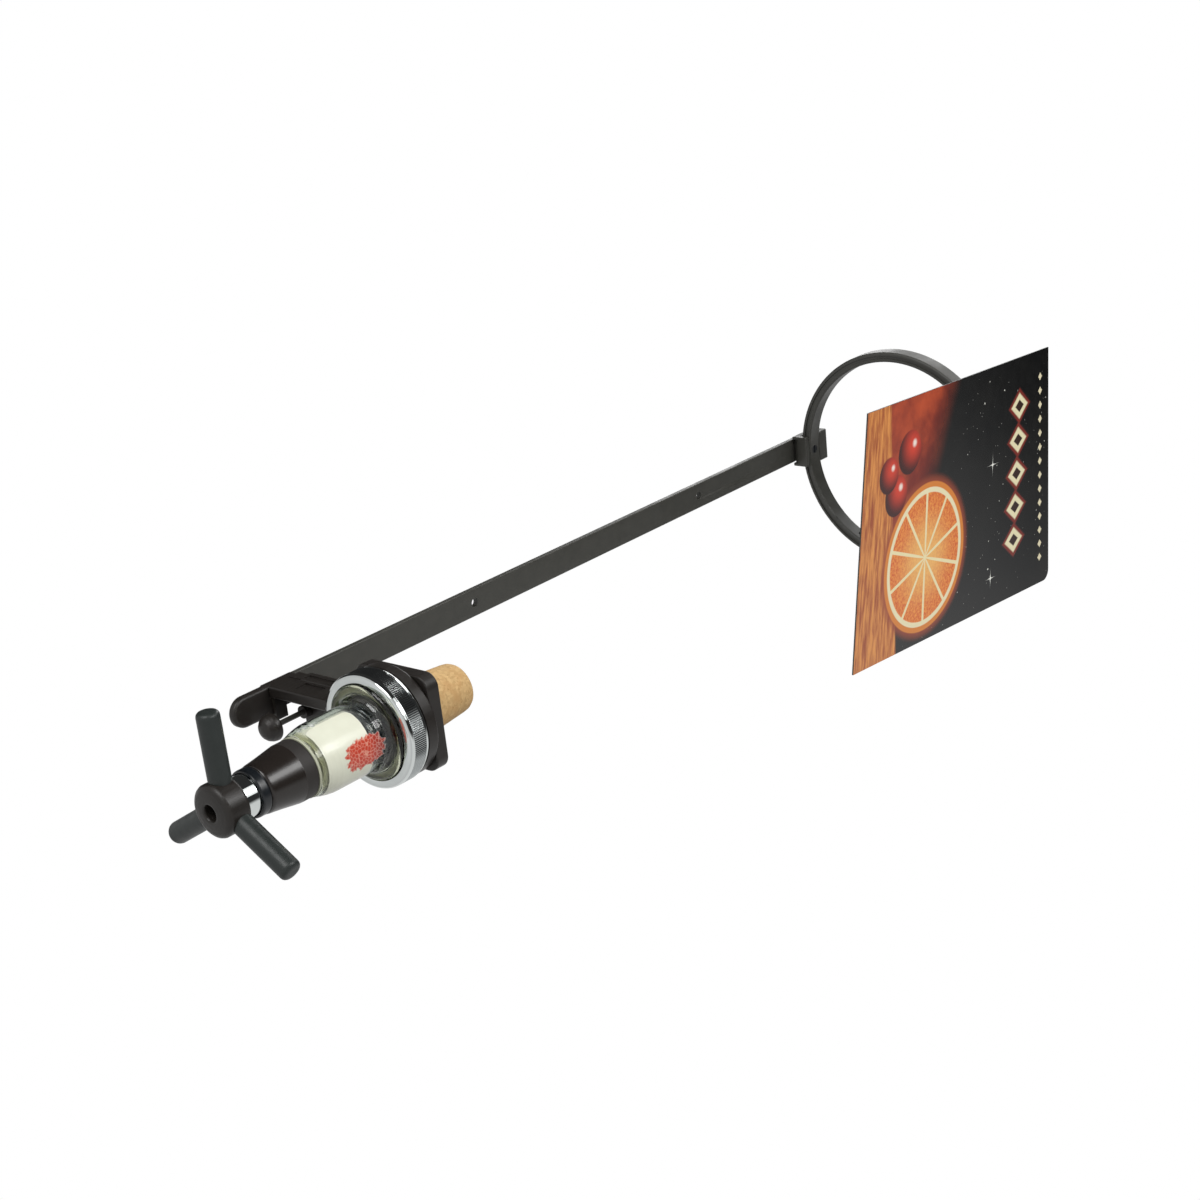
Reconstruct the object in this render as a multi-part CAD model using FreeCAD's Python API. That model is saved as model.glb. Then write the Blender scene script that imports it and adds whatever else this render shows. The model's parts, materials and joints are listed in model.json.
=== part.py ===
import FreeCAD, Part
import math
import os

# Wall-mounted liquor optic dispenser.  Millimetres, +Z up.
# The origin is on the axis of the bottle neck, on the face that the bottle rests on.
# -Y faces the room, +Y the wall.  The star handle is pushed up (+Z) to pour.

WALL_Y = 54.5

BAR_WIDTH = 10.3
BAR_THICKNESS = 2.3
BAR_FRONT_Y = 49.9
BAR_BOTTOM_Z = -2.4
BAR_TOP_Z = 302.0
BAR_TANG_WIDTH = 7.8
BAR_TANG_BOTTOM_Z = -13.0
BAR_HOLE_RADIUS = 1.6
BAR_HOLE_HEIGHTS = (85.0, 222.0)

HOOP_OUTER_RADIUS = 46.5
HOOP_INNER_RADIUS = 42.3
HOOP_BOTTOM_Z = 293.9
HOOP_HEIGHT = 7.7
HOOP_MIDDLE_Z = HOOP_BOTTOM_Z + HOOP_HEIGHT / 2
HOOP_EDGE_RADIUS = 0.9
HOOP_GROOVE_RADIUS = 44.4
HOOP_GROOVE_DEPTH = 0.5
HOOP_GROOVE_WIDTH = 1.3
HOOP_SPARE_HOLE_ANGLE = 30.0
HOOP_SPARE_HOLE_RADIUS = 0.9

BLOCK_HALF_WIDTH = 6.6
BLOCK_BOTTOM_Z = 291.6
BLOCK_TOP_Z = 307.9
BLOCK_JAW_FRONT_Y = 42.4
BLOCK_PLATE_FRONT_Y = 46.9
BLOCK_RECESS_HALF_WIDTH = 5.4
BLOCK_RECESS_DEPTH = 2.0
SPACER_HALF_WIDTH = 3.5

SCREW_SHANK_RADIUS = 1.1
SCREW_HEAD_RADIUS = 1.8
SCREW_HEAD_HEIGHT = 0.9
SCREW_HEAD_Y = HOOP_INNER_RADIUS + 0.1
SCREW_SLOT_WIDTH = 0.6
SCREW_SLOT_DEPTH = 0.5
SCREW_TIP_Y = 54.0

PLATE_SIDE = 32.0
PLATE_THICKNESS = 5.0
PLATE_CORNER_RADIUS = 4.5

HEAD_RADIUS = 18.6
HEAD_BOTTOM_Z = -9.3
HEAD_SPIGOT_RADIUS = 17.2
HEAD_SPIGOT_BOTTOM_Z = -13.6

NUT_RADIUS = 19.0
NUT_FRONT_Z = -17.8
NUT_REAR_Z = -9.6
NUT_OPENING_RADIUS = 16.0
NUT_LIP = 0.8
NUT_RIM = 1.8
NUT_BORE_RADIUS = 17.3
NUT_FLUTES = 72
NUT_FLUTE_RADIUS = 0.35

GLASS_RADIUS = 11.4
GLASS_WALL = 1.4
GLASS_BOTTOM_Z = -45.5
GLASS_FLANGE_RADIUS = 17.0
GLASS_FLANGE_BOTTOM_Z = -16.8
GLASS_FLANGE_TOP_Z = -14.4
GLASS_MOUTH_RADIUS = 12.6

LABEL_RADIUS = 9.6
LABEL_WALL = 0.4
LABEL_BOTTOM_Z = -45.1
LABEL_TOP_Z = -25.4

NOZZLE_TOP_Z = -46.3
NOZZLE_WEB_BOTTOM_Z = -50.3
NOZZLE_TIP_Z = -63.0
NOZZLE_BORE_RADIUS = 6.7

WIPER_RADIUS = 7.6
WIPER_TIP_Z = -66.3

TUBE_RADIUS = 6.6
TUBE_BORE_RADIUS = 4.6
TUBE_TOP_Z = -58.5
TUBE_BOTTOM_Z = -76.8

HUB_RADIUS = 8.4
HUB_TOP_Z = -71.4
HUB_RIM_Z = -79.4
HUB_DOME = 0.9
HUB_FLOOR_Z = -76.9
SPOUT_RADIUS = 2.5

ARM_RADIUS = 3.5
ARM_REACH = 29.7
ARM_AXIS_Z = -74.4
ARM_ANGLES = (180.0, 300.0, 60.0)
ARM_END_RADIUS = 1.2
PIN_RADIUS = 1.7
PIN_INNER_REACH = 5.0

PUSH_TRAVEL = 4.0

TIE_TUBE_RADIUS = 6.4
TIE_TUBE_BORE_RADIUS = 5.2
TIE_TUBE_TOP_Z = -23.2

CAGE_RADIUS = 9.0
CAGE_BOTTOM_Z = -25.2
CAGE_SHOULDER_Z = -13.7
CAGE_SEAT_Z = -15.0
CAGE_NECK_RADIUS = 7.5
CAGE_NECK_TOP_Z = -10.4
VALVE_PORT_RADIUS = 3.2

STEM_RADIUS = 1.6
STEM_TOP_Z = -17.6
STEM_BOTTOM_Z = -64.0
SEAL_THICKNESS = 2.3
SEAL_RADIUS = 4.4
COLLAR_RADIUS = 3.0
COLLAR_THICKNESS = 0.9
VALVE_GAP = 0.1

SPRING_WIRE_RADIUS = 0.35
SPRING_MEAN_RADIUS = 5.4
SPRING_TURNS = 4

NECK_TUBE_RADIUS = 5.0
NECK_TUBE_BORE_RADIUS = 3.4

CORK_BASE_RADIUS = 10.2
CORK_TIP_RADIUS = 8.2
CORK_TIP_Z = 23.0
CORK_EDGE_RADIUS = 2.4

SLEEVE_LEFT_X = -5.5
SLEEVE_RIGHT_X = 6.5
SLEEVE_FRONT_Y = 46.5
SLEEVE_BACK_Y = 53.0
SLEEVE_BOTTOM_Z = -14.6
SLEEVE_NOTCH_X = 2.4
SLEEVE_NOTCH_Z = -9.8
SLEEVE_PAD_HALF_WIDTH = 2.5
SLEEVE_PAD_TOP_Z = -4.0
PRONG_CENTRE_X = -0.65
PRONG_HALF_WIDTH = 5.2
PRONG_FRONT_Y = 47.6
PRONG_BACK_Y = 50.0
PRONG_BOTTOM_Z = -30.5
PRONG_EDGE_RADIUS = 1.2

WEB_LEFT_X = -6.0
WEB_RIGHT_X = -2.0
WEB_BOTTOM_Z = -15.4
WEB_FRONT_Y = 20.0
WEB_POCKET_DEPTH = 0.5
TAIL_LEFT_X = -6.3
TAIL_RIGHT_X = 11.0
TAIL_BACK_Y = 42.4
TAIL_TOP_Z = -0.5
TAIL_BOTTOM_Z = -6.6
TAIL_GROOVE_DEPTH = 0.4

CLAMP_X = 4.2
CLAMP_Y = 40.0
CLAMP_SCREW_RADIUS = 0.9
CLAMP_BOSS_RADIUS = 2.2
CLAMP_BOSS_BOTTOM_Z = -9.2
KNOB_RADIUS = 4.7
KNOB_TOP_Z = -21.4
KNOB_BOTTOM_Z = -26.4
KNOB_DOME_RADIUS = 4.0
KNOB_NECK_RADIUS = 2.3
KNOB_NECK_TOP_Z = -19.6
KNOB_THREAD_DEPTH = 3.0

SIGN_WIDTH = 100.5
SIGN_HEIGHT = 151.0
SIGN_THICKNESS = 0.6
SIGN_CENTRE = (3.55, -50.4, 260.75)
SIGN_LEAN = 4.1
SIGN_TURN = 2.2
SIGN_TILT = 0.4
SIGN_TWIST = 2.4
SIGN_CORNER_RADIUS = 4.5

CLIP_HALF_WIDTH = 7.0
CLIP_SHEET = 1.1
CLIP_GAP = 0.35
CLIP_LIP_WIDTH = 0.7
CLIP_LIP_DEPTH = 0.65
CLIP_INNER_Y = -42.7

FIT = 0.05


def vec(x, y, z):
    return FreeCAD.Vector(x, y, z)


def box(x_range, y_range, z_range):
    x0, x1 = x_range
    y0, y1 = y_range
    z0, z1 = z_range
    return Part.makeBox(x1 - x0, y1 - y0, z1 - z0, vec(x0, y0, z0))


def tube_z(outer, inner, bottom, top):
    solid = Part.makeCylinder(outer, top - bottom, vec(0, 0, bottom))
    return solid.cut(Part.makeCylinder(inner, top - bottom, vec(0, 0, bottom)))


def disc_z(radius, bottom, top):
    return Part.makeCylinder(radius, top - bottom, vec(0, 0, bottom))


def rod_y(radius, start, end, z):
    """Cylinder along Y in the middle plane of the rail."""
    return Part.makeCylinder(radius, end - start, vec(0, start, z), vec(0, 1, 0))


def spin(points):
    """Solid of revolution about Z from (radius, z) points."""
    loop = [vec(r, 0, z) for r, z in points]
    face = Part.Face(Part.makePolygon(loop + loop[:1]))
    return face.revolve(vec(0, 0, 0), vec(0, 0, 1), 360)


def around_z(solid, angle):
    turned = solid.copy()
    turned.rotate(vec(0, 0, 0), vec(0, 0, 1), angle)
    return turned


def edges_along(shape, axis):
    """Straight edges of a shape that run along 'x', 'y' or 'z'."""
    found = []
    for edge in shape.Edges:
        if not isinstance(edge.Curve, (Part.Line, Part.LineSegment)):
            continue
        run = edge.Vertexes[0].Point.sub(edge.Vertexes[-1].Point)
        if abs(getattr(run, axis)) > 0.99 * run.Length:
            found.append(edge)
    return found


def corner_of(edge, point, reach=0.1):
    """True for an edge with an end at the point."""
    return any(v.Point.sub(point).Length < reach for v in edge.Vertexes)


def circles_at(shape, radius, z):
    """Circular edges of one radius about the Z axis at one height."""
    found = []
    for edge in shape.Edges:
        if not isinstance(edge.Curve, Part.Circle):
            continue
        same_size = abs(edge.Curve.Radius - radius) < 0.01
        same_height = abs(edge.Curve.Center.z - z) < 0.01
        if same_size and same_height:
            found.append(edge)
    return found


# ---------------------------------------------------------------- wall rail

def wall_bar():
    back = BAR_FRONT_Y + BAR_THICKNESS
    half = BAR_WIDTH / 2
    bar = box((-half, half), (BAR_FRONT_Y, back), (BAR_BOTTOM_Z, BAR_TOP_Z))
    bar = bar.makeFillet(0.4, edges_along(bar, "z"))
    tang_half = BAR_TANG_WIDTH / 2
    tang = box((-tang_half, tang_half), (BAR_FRONT_Y, back), (BAR_TANG_BOTTOM_Z, BAR_BOTTOM_Z))
    bar = bar.fuse(tang).removeSplitter()
    for height in BAR_HOLE_HEIGHTS:
        bar = bar.cut(rod_y(BAR_HOLE_RADIUS, BAR_FRONT_Y - 1, back + 1, height))
    return bar.cut(hoop_screw_shank(FIT))


def hoop_screw_shank(clearance):
    radius = SCREW_SHANK_RADIUS + clearance
    return rod_y(radius, SCREW_HEAD_Y, SCREW_TIP_Y + clearance, HOOP_MIDDLE_Z)


def hoop_screw_head(clearance):
    """Countersunk head, just below the inner face of the hoop."""
    outer = SCREW_HEAD_RADIUS + clearance
    inner = SCREW_SHANK_RADIUS + clearance
    start = vec(0, SCREW_HEAD_Y, HOOP_MIDDLE_Z)
    return Part.makeCone(outer, inner, SCREW_HEAD_HEIGHT, start, vec(0, 1, 0))


def hoop_screw():
    screw = hoop_screw_shank(0).fuse(hoop_screw_head(0))
    half = SCREW_SLOT_WIDTH / 2
    slot_y = (SCREW_HEAD_Y - 1, SCREW_HEAD_Y + SCREW_SLOT_DEPTH)
    slot_z = (HOOP_MIDDLE_Z - half, HOOP_MIDDLE_Z + half)
    return screw.cut(box((-SCREW_HEAD_RADIUS, SCREW_HEAD_RADIUS), slot_y, slot_z))


def hoop_ring(width, first_z, last_z):
    """Thin ring on the circle of the hoop's grooves."""
    outer = HOOP_GROOVE_RADIUS + width / 2
    return tube_z(outer, outer - width, min(first_z, last_z), max(first_z, last_z))


def hoop():
    """Band with a shallow groove round its top and bottom faces."""
    band = tube_z(HOOP_OUTER_RADIUS, HOOP_INNER_RADIUS, HOOP_BOTTOM_Z, HOOP_BOTTOM_Z + HOOP_HEIGHT)
    rims = []
    for radius in (HOOP_OUTER_RADIUS, HOOP_INNER_RADIUS):
        for z in (HOOP_BOTTOM_Z, HOOP_BOTTOM_Z + HOOP_HEIGHT):
            rims.extend(circles_at(band, radius, z))
    band = band.makeFillet(HOOP_EDGE_RADIUS, rims)
    for side in (-1, 1):
        floor_z = HOOP_MIDDLE_Z + side * (HOOP_HEIGHT / 2 - HOOP_GROOVE_DEPTH)
        band = band.cut(hoop_ring(HOOP_GROOVE_WIDTH, floor_z, floor_z + side * HOOP_GROOVE_DEPTH))
    spare = rod_y(HOOP_SPARE_HOLE_RADIUS, HOOP_INNER_RADIUS - 1, HOOP_OUTER_RADIUS + 1, HOOP_MIDDLE_Z)
    band = band.cut(around_z(spare, HOOP_SPARE_HOLE_ANGLE - 90))
    mouth = rod_y(SCREW_HEAD_RADIUS + FIT, HOOP_INNER_RADIUS - 1, SCREW_HEAD_Y, HOOP_MIDDLE_Z)
    return band.cut([hoop_screw_shank(FIT), hoop_screw_head(FIT), mouth])


def hoop_block():
    """Jaws round the hoop on the bar's front, recessed below, and a spacer behind the bar."""
    width = (-BLOCK_HALF_WIDTH, BLOCK_HALF_WIDTH)
    back = BAR_FRONT_Y - FIT
    block = box(width, (BLOCK_JAW_FRONT_Y, back), (BLOCK_BOTTOM_Z, BLOCK_TOP_Z))
    block = block.makeFillet(0.6, edges_along(block, "z") + edges_along(block, "x"))
    channel_z = (HOOP_BOTTOM_Z - FIT, HOOP_BOTTOM_Z + HOOP_HEIGHT + FIT)
    channel = box((-10, 10), (BLOCK_JAW_FRONT_Y - 1, BLOCK_PLATE_FRONT_Y), channel_z)
    recess_x = (-BLOCK_RECESS_HALF_WIDTH, BLOCK_RECESS_HALF_WIDTH)
    recess_z = (BLOCK_BOTTOM_Z - 1, BLOCK_BOTTOM_Z + BLOCK_RECESS_DEPTH)
    recess = box(recess_x, (BLOCK_PLATE_FRONT_Y + 0.5, back + 1), recess_z)
    block = block.cut([channel, recess])
    narrow = (-SPACER_HALF_WIDTH, SPACER_HALF_WIDTH)
    top = BLOCK_TOP_Z - 1
    bridge = box(narrow, (back - 1, WALL_Y), (BAR_TOP_Z + FIT, top))
    spacer_front = BAR_FRONT_Y + BAR_THICKNESS + FIT
    spacer = box(narrow, (spacer_front, WALL_Y), (BLOCK_BOTTOM_Z, top))
    block = block.fuse([bridge, spacer]).removeSplitter()
    return block.cut(hoop_screw_shank(FIT))


# ---------------------------------------------------------------- bracket

def bracket():
    sleeve_y = (SLEEVE_FRONT_Y, SLEEVE_BACK_Y)
    sleeve = box((SLEEVE_LEFT_X, SLEEVE_RIGHT_X), sleeve_y, (SLEEVE_BOTTOM_Z, BAR_BOTTOM_Z))
    for radius, side_y in ((2.0, SLEEVE_BACK_Y), (0.8, SLEEVE_FRONT_Y)):
        uprights = [e for e in edges_along(sleeve, "z") if abs(e.Vertexes[0].Point.y - side_y) < 0.01]
        sleeve = sleeve.makeFillet(radius, uprights)
    notch_z = (SLEEVE_NOTCH_Z, BAR_BOTTOM_Z + 1)
    front_notch = box((SLEEVE_NOTCH_X, 10), (SLEEVE_FRONT_Y - 1, BAR_FRONT_Y), notch_z)
    side_notch = box((BAR_TANG_WIDTH / 2, 10), (BAR_FRONT_Y, SLEEVE_BACK_Y + 1), notch_z)
    sleeve = sleeve.cut([front_notch, side_notch])
    body = sleeve.fuse(prong())
    body = body.fuse(bracket_web())
    body = body.fuse(bracket_tail())
    body = body.fuse(clamp_rod(CLAMP_BOSS_RADIUS, CLAMP_BOSS_BOTTOM_Z, TAIL_BOTTOM_Z + 0.5))
    pad_x = (-SLEEVE_PAD_HALF_WIDTH, SLEEVE_PAD_HALF_WIDTH)
    body = body.fuse(box(pad_x, (SLEEVE_BACK_Y - 0.5, WALL_Y), (SLEEVE_BOTTOM_Z, SLEEVE_PAD_TOP_Z)))
    tang_half = BAR_TANG_WIDTH / 2 + FIT
    tang_y = (BAR_FRONT_Y - FIT, BAR_FRONT_Y + BAR_THICKNESS + FIT)
    body = body.cut(box((-tang_half, tang_half), tang_y, (BAR_TANG_BOTTOM_Z - FIT, 1)))
    body = body.cut(clamp_rod(CLAMP_SCREW_RADIUS + FIT, CLAMP_BOSS_BOTTOM_Z - 1, TAIL_TOP_Z - 1))
    body = body.cut(plate_tongue(FIT))
    return body.removeSplitter()


def prong():
    """Tongue below the sleeve with a half-round end and a softened front edge."""
    centre_z = PRONG_BOTTOM_Z + PRONG_HALF_WIDTH
    end = rod_y(PRONG_HALF_WIDTH, PRONG_FRONT_Y, PRONG_BACK_Y, centre_z)
    end.translate(vec(PRONG_CENTRE_X, 0, 0))
    top_z = SLEEVE_BOTTOM_Z + 0.5
    width = (PRONG_CENTRE_X - PRONG_HALF_WIDTH, PRONG_CENTRE_X + PRONG_HALF_WIDTH)
    shank = box(width, (PRONG_FRONT_Y, PRONG_BACK_Y), (centre_z, top_z))
    tongue = end.fuse(shank).removeSplitter()
    front = []
    for edge in tongue.Edges:
        on_front = all(abs(v.Point.y - PRONG_FRONT_Y) < 0.01 for v in edge.Vertexes)
        at_top = all(abs(v.Point.z - top_z) < 0.01 for v in edge.Vertexes)
        if on_front and not at_top:
            front.append(edge)
    return tongue.makeFillet(PRONG_EDGE_RADIUS, front)


def bracket_web():
    """Upright rib that carries the tail, with a blind pocket in its outer side."""
    web_y = (WEB_FRONT_Y, SLEEVE_FRONT_Y + 0.5)
    web = box((WEB_LEFT_X, WEB_RIGHT_X), web_y, (WEB_BOTTOM_Z, TAIL_BOTTOM_Z + 0.5))
    web = web.makeFillet(0.7, edges_along(web, "y"))
    pocket = box((WEB_LEFT_X - 1, WEB_LEFT_X + WEB_POCKET_DEPTH), (28.0, 37.5), (-12.4, -7.6))
    return web.cut(pocket)


def bracket_tail():
    """Flat arm between the sleeve and the holder plate, grooved along its outer side."""
    tail_y = (PLATE_SIDE / 2, TAIL_BACK_Y)
    tail = box((TAIL_LEFT_X, TAIL_RIGHT_X), tail_y, (TAIL_BOTTOM_Z, TAIL_TOP_Z))
    corner = vec(TAIL_RIGHT_X, TAIL_BACK_Y, TAIL_TOP_Z)
    back_corner = [e for e in edges_along(tail, "z") if corner_of(e, corner)]
    tail = tail.makeFillet(2.0, back_corner)
    tail = tail.makeFillet(0.7, edges_along(tail, "y"))
    joint_y = (TAIL_BACK_Y - 1, SLEEVE_FRONT_Y + 0.5)
    joint = box((TAIL_LEFT_X, SLEEVE_NOTCH_X), joint_y, (TAIL_BOTTOM_Z, BAR_BOTTOM_Z))
    tail = tail.fuse(joint)
    groove = box((TAIL_LEFT_X - 1, TAIL_LEFT_X + TAIL_GROOVE_DEPTH), (20.0, 41.0), (-5.4, -2.8))
    relief = disc_z(HEAD_RADIUS + 0.5, TAIL_BOTTOM_Z - 1, -PLATE_THICKNESS + 0.1)
    return tail.cut(groove).cut(relief)


def clamp_rod(radius, bottom, top):
    """Cylinder on the axis of the clamp screw."""
    return Part.makeCylinder(radius, top - bottom, vec(CLAMP_X, CLAMP_Y, bottom))


def clamp_screw():
    return clamp_rod(CLAMP_SCREW_RADIUS, KNOB_TOP_Z - KNOB_THREAD_DEPTH, TAIL_TOP_Z - 1.2)


def clamp_knob():
    """Round thumb piece with a domed end and a short neck."""
    knob = clamp_rod(KNOB_RADIUS, KNOB_BOTTOM_Z, KNOB_TOP_Z)
    ends = [e for e in knob.Edges if isinstance(e.Curve, Part.Circle)]
    dome = min(ends, key=lambda e: e.Curve.Center.z)
    knob = knob.makeFillet(KNOB_DOME_RADIUS, [dome])
    knob = knob.makeFillet(0.6, circles_at(knob, KNOB_RADIUS, KNOB_TOP_Z))
    knob = knob.fuse(clamp_rod(KNOB_NECK_RADIUS, KNOB_TOP_Z - 1, KNOB_NECK_TOP_Z))
    bore_bottom = KNOB_TOP_Z - KNOB_THREAD_DEPTH - FIT
    return knob.cut(clamp_rod(CLAMP_SCREW_RADIUS + FIT, bore_bottom, KNOB_NECK_TOP_Z + 1))


# ---------------------------------------------------------------- bottle seat

def plate_tongue(clearance):
    half = 4.5 + clearance
    start = PLATE_SIDE / 2 - 1
    return box((-half, half), (start, start + 12 + clearance), (-4.2 - clearance, -1.8 + clearance))


def holder_plate():
    half = PLATE_SIDE / 2
    plate = box((-half, half), (-half, half), (-PLATE_THICKNESS, 0))
    plate = plate.makeFillet(PLATE_CORNER_RADIUS, edges_along(plate, "z"))
    top_rim = [e for e in plate.Edges if all(abs(v.Point.z) < 0.01 for v in e.Vertexes)]
    plate = plate.makeFillet(0.5, top_rim)
    bottom_rim = [e for e in plate.Edges if all(abs(v.Point.z + PLATE_THICKNESS) < 0.01 for v in e.Vertexes)]
    plate = plate.makeFillet(0.5, bottom_rim)
    plate = plate.fuse(plate_tongue(0))
    return plate.cut(disc_z(NECK_TUBE_RADIUS + FIT, -PLATE_THICKNESS - 1, 1))


def neck_tube():
    return tube_z(NECK_TUBE_RADIUS, NECK_TUBE_BORE_RADIUS, CAGE_NECK_TOP_Z + FIT, CORK_TIP_Z - 0.4)


def cork():
    body = Part.makeCone(CORK_BASE_RADIUS, CORK_TIP_RADIUS, CORK_TIP_Z)
    body = body.makeFillet(CORK_EDGE_RADIUS, circles_at(body, CORK_TIP_RADIUS, CORK_TIP_Z))
    return body.cut(disc_z(NECK_TUBE_RADIUS + FIT, -1, CORK_TIP_Z + 1))


# ---------------------------------------------------------------- measuring head

def valve_head():
    head = disc_z(HEAD_RADIUS, HEAD_BOTTOM_Z, -PLATE_THICKNESS)
    head = head.makeFillet(0.8, circles_at(head, HEAD_RADIUS, -PLATE_THICKNESS))
    head = head.fuse(disc_z(HEAD_SPIGOT_RADIUS, HEAD_SPIGOT_BOTTOM_Z, HEAD_BOTTOM_Z))
    head = head.cut(disc_z(NECK_TUBE_RADIUS + FIT, CAGE_NECK_TOP_Z, 0))
    return head.cut(disc_z(CAGE_NECK_RADIUS + FIT, HEAD_SPIGOT_BOTTOM_Z - 1, CAGE_NECK_TOP_Z + FIT))


def union_nut():
    lip_top = NUT_FRONT_Z + NUT_LIP
    nut = spin([
        (NUT_OPENING_RADIUS, lip_top),
        (NUT_OPENING_RADIUS, NUT_FRONT_Z + 0.4),
        (NUT_OPENING_RADIUS + 0.4, NUT_FRONT_Z),
        (NUT_RADIUS - 0.8, NUT_FRONT_Z),
        (NUT_RADIUS - 0.25, NUT_FRONT_Z + 0.25),
        (NUT_RADIUS, NUT_FRONT_Z + 0.8),
        (NUT_RADIUS, NUT_REAR_Z - 0.6),
        (NUT_RADIUS - 0.6, NUT_REAR_Z),
        (NUT_BORE_RADIUS, NUT_REAR_Z),
        (NUT_BORE_RADIUS, lip_top),
    ])
    flute_bottom = NUT_FRONT_Z + NUT_RIM
    flute_height = NUT_REAR_Z - 1.2 - flute_bottom
    flute = Part.makeCylinder(NUT_FLUTE_RADIUS, flute_height, vec(NUT_RADIUS, 0, flute_bottom))
    flutes = [around_z(flute, 360.0 * i / NUT_FLUTES) for i in range(NUT_FLUTES)]
    return nut.cut(flutes)


def chamber_gasket():
    return tube_z(GLASS_FLANGE_RADIUS, GLASS_MOUTH_RADIUS, GLASS_FLANGE_TOP_Z, HEAD_SPIGOT_BOTTOM_Z)


def measuring_glass():
    """Outline from the foot up the outside, over the flange and down the inside."""
    inner = GLASS_RADIUS - GLASS_WALL
    foot = GLASS_BOTTOM_Z
    outline = [
        (9.8, foot), (10.2, foot + 1.5), (10.7, foot + 3.2), (11.2, foot + 5.5),
        (GLASS_RADIUS, foot + 7.5), (GLASS_RADIUS, -22.0),
        (11.7, -20.6), (12.5, -19.5), (13.6, -18.9), (14.8, -18.6), (15.5, -18.2), (15.7, -17.4),
        (15.7, GLASS_FLANGE_BOTTOM_Z), (GLASS_FLANGE_RADIUS, GLASS_FLANGE_BOTTOM_Z),
        (GLASS_FLANGE_RADIUS, GLASS_FLANGE_TOP_Z), (GLASS_MOUTH_RADIUS, GLASS_FLANGE_TOP_Z),
        (GLASS_MOUTH_RADIUS, -16.6), (11.6, -17.8), (10.6, -19.4), (inner, -21.5),
        (inner, foot + 7.5), (9.8, foot + 5.5), (9.3, foot + 3.2), (8.7, foot + 1.5), (8.3, foot),
    ]
    return spin(outline)


def label_sleeve():
    """Printed sleeve that follows the inside of the glass down to its foot."""
    outside = [
        (LABEL_RADIUS, LABEL_TOP_Z), (LABEL_RADIUS, -39.6), (9.1, -41.8), (8.5, -43.7), (8.1, LABEL_BOTTOM_Z),
    ]
    inside = [(radius - LABEL_WALL, z) for radius, z in reversed(outside)]
    return spin(outside + inside)


def ring_of_ports(count, width, reach, bottom, top):
    """Boxes pointing outwards, used to cut windows in a tube."""
    port = box((0, reach), (-width / 2, width / 2), (bottom, top))
    return [around_z(port, 360.0 * i / count + 45) for i in range(count)]


def valve_cage():
    cage = spin([
        (TIE_TUBE_RADIUS + FIT, CAGE_BOTTOM_Z),
        (CAGE_RADIUS - 2.0, CAGE_BOTTOM_Z),
        (CAGE_RADIUS - 0.7, CAGE_BOTTOM_Z + 1.2),
        (CAGE_RADIUS, CAGE_BOTTOM_Z + 3.2),
        (CAGE_RADIUS, CAGE_SHOULDER_Z),
        (CAGE_NECK_RADIUS, CAGE_SHOULDER_Z),
        (CAGE_NECK_RADIUS, CAGE_NECK_TOP_Z),
        (VALVE_PORT_RADIUS, CAGE_NECK_TOP_Z),
        (VALVE_PORT_RADIUS, CAGE_SEAT_Z),
        (TIE_TUBE_RADIUS + FIT, CAGE_SEAT_Z),
    ])
    return cage.cut(ring_of_ports(4, 3.0, CAGE_RADIUS + 1, TIE_TUBE_TOP_Z + 0.4, CAGE_SEAT_Z - 1.5))


def tie_tube():
    bottom = NOZZLE_TOP_Z - 3.0
    tube = tube_z(TIE_TUBE_RADIUS, TIE_TUBE_BORE_RADIUS, bottom, TIE_TUBE_TOP_Z)
    tube = tube.cut(ring_of_ports(4, 3.2, TIE_TUBE_RADIUS + 1, NOZZLE_TOP_Z + 0.6, NOZZLE_TOP_Z + 5.6))
    return tube.cut(ring_of_ports(4, 2.0, TIE_TUBE_RADIUS + 1, -31.0, -27.0))


def glass_gasket():
    return tube_z(9.7, 8.3, NOZZLE_TOP_Z, GLASS_BOTTOM_Z)


def nozzle():
    seat_z = NOZZLE_TOP_Z - 3.0
    return spin([
        (TIE_TUBE_RADIUS + FIT, NOZZLE_TOP_Z),
        (9.1, NOZZLE_TOP_Z), (9.5, NOZZLE_TOP_Z - 0.5), (9.5, -51.0), (9.3, -52.6), (9.0, -54.3),
        (8.5, -57.0), (8.2, -59.5), (7.85, -62.3), (7.5, NOZZLE_TIP_Z),
        (NOZZLE_BORE_RADIUS, NOZZLE_TIP_Z),
        (NOZZLE_BORE_RADIUS, NOZZLE_WEB_BOTTOM_Z),
        (VALVE_PORT_RADIUS, NOZZLE_WEB_BOTTOM_Z),
        (VALVE_PORT_RADIUS, seat_z),
        (TIE_TUBE_RADIUS + FIT, seat_z),
    ])


def wiper_ring():
    ring = tube_z(WIPER_RADIUS, NOZZLE_BORE_RADIUS, WIPER_TIP_Z, NOZZLE_TIP_Z)
    outer = circles_at(ring, WIPER_RADIUS, WIPER_TIP_Z) + circles_at(ring, WIPER_RADIUS, NOZZLE_TIP_Z)
    return ring.makeFillet(0.4, outer)


# ---------------------------------------------------------------- plunger

def spout_tube():
    tube = tube_z(TUBE_RADIUS, TUBE_BORE_RADIUS, TUBE_BOTTOM_Z, TUBE_TOP_Z)
    return tube.cut([arm_pin(angle, FIT) for angle in ARM_ANGLES])


def arm_pin(angle, clearance):
    length = HUB_RADIUS + 1 - PIN_INNER_REACH
    start = vec(PIN_INNER_REACH - clearance, 0, ARM_AXIS_Z)
    pin = Part.makeCylinder(PIN_RADIUS + clearance, length, start, vec(1, 0, 0))
    return around_z(pin, angle)


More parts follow.
